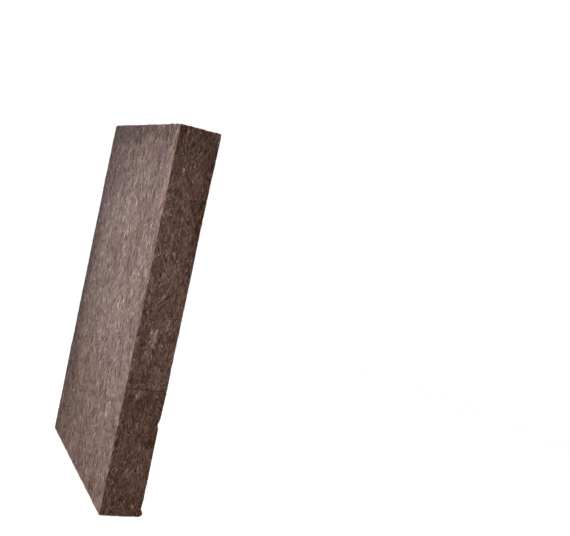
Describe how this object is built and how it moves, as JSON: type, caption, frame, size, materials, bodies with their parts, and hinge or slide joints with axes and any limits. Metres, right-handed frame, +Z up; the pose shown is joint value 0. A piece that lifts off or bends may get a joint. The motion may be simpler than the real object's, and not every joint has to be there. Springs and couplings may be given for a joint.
{
  "type": "floral wool slab",
  "caption": "Thick rectangular slab of felted wool for holding cut flowers, parted by a cross cut and hinged on its uncut front felt.",
  "frame": {"origin": "middle of the short end face that the slab stands on", "axes": "+Z up the slab's length, Y across its width with the near sawn side at -Y, +X through the thickness from the front face to the back face"},
  "size_m": [0.065, 0.4, 0.6],
  "materials": {
    "sawn_core": "matt sawn fibre",
    "felted_face": "matt felted fibre"
  },
  "bodies": {
    "short_block": {"short_core": "sawn_core", "short_front_felt": "felted_face", "short_back_felt": "felted_face"},
    "long_block": {"long_core": "sawn_core", "long_front_felt": "felted_face", "long_back_felt": "felted_face"}
  },
  "joints": [
    {"name": "cut_fold", "type": "hinge", "parent": "short_block", "child": "long_block", "pos_m": [-0.0325, 0, 0.2], "axis": [0, -1, 0], "range_deg": [0, 45]}
  ]
}
